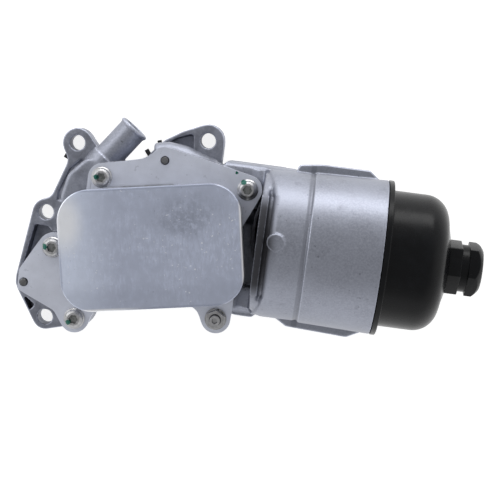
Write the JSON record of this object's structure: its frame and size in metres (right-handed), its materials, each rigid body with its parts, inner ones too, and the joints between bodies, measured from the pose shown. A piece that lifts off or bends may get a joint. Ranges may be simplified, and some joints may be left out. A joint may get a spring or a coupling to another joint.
{
  "type": "engine oil cooler",
  "caption": "Stacked-plate engine oil cooler on a cast housing that bolts to the block, with a coolant stub and a filter bowl closed by a screw cap.",
  "frame": {"origin": "on the mounting face that bolts to the engine block, on the solid web between the passages, below the filter bowl's axis", "axes": "+Z away from the engine block, +X along the filter bowl's axis towards its screw cap, +Y across the flange towards the coolant stub"},
  "size_m": [0.2634, 0.1309, 0.0884],
  "materials": {
    "cast_aluminium": "as cast, shot blasted",
    "seal_rubber": "moulded",
    "base_sheet": "brazed sheet",
    "core_sheet": "brazed sheet",
    "cover_sheet": "brazed sheet, mottled",
    "zinc_steel": "zinc plated",
    "cap_plastic": "moulded, satin",
    "filter_paper": "pleated paper",
    "element_plastic": "moulded",
    "spring_steel": "drawn wire"
  },
  "bodies": {
    "housing": {"housing": "cast_aluminium", "mounting_gasket": "seal_rubber", "oil_inlet_seal": "seal_rubber", "oil_passage_seal": "seal_rubber", "port_seal_1": "seal_rubber", "port_seal_2": "seal_rubber", "port_seal_3": "seal_rubber", "port_seal_4": "seal_rubber", "cooler_base_plate": "base_sheet", "core_base": "core_sheet", "core_plate_1": "core_sheet", "core_plate_2": "core_sheet", "core_plate_3": "core_sheet", "core_plate_4": "core_sheet", "core_plate_5": "core_sheet", "core_plate_6": "core_sheet", "core_plate_7": "core_sheet", "core_plate_8": "core_sheet", "cooler_cover": "cover_sheet", "bolt_top_left": "zinc_steel", "bolt_top_right": "zinc_steel", "bolt_left": "zinc_steel", "bolt_bottom_left": "zinc_steel", "stud": "zinc_steel", "flange_nut": "zinc_steel", "standpipe": "element_plastic", "bypass_retainer": "spring_steel", "bypass_spring": "spring_steel"},
    "filter_element": {"filter_media": "filter_paper", "element_end_disc_inner": "element_plastic", "element_end_disc_outer": "element_plastic", "centre_tube": "element_plastic"},
    "cap": {"filter_cap": "cap_plastic", "cap_o_ring": "seal_rubber"},
    "bypass_valve": {"bypass_poppet": "element_plastic"}
  },
  "joints": [
    {"name": "filter_draw", "type": "slide", "parent": "housing", "child": "filter_element", "axis": [1, 0, 0], "range_m": [0, 0.012]},
    {"name": "cap_turn", "type": "hinge", "parent": "filter_element", "child": "cap", "pos_m": [0.15, 0, 0.045], "axis": [1, 0, 0], "range_deg": [0, 1440]},
    {"name": "bypass_open", "type": "slide", "parent": "housing", "child": "bypass_valve", "axis": [-1, 0, 0], "range_m": [0, 0.004], "stiffness_N_per_m": 400, "springref_m": -0.005, "deforming": ["bypass_spring"]}
  ],
  "couplings": [
    {"joint": "filter_draw", "follows": "cap_turn", "m_per_rad": 0.000477}
  ]
}
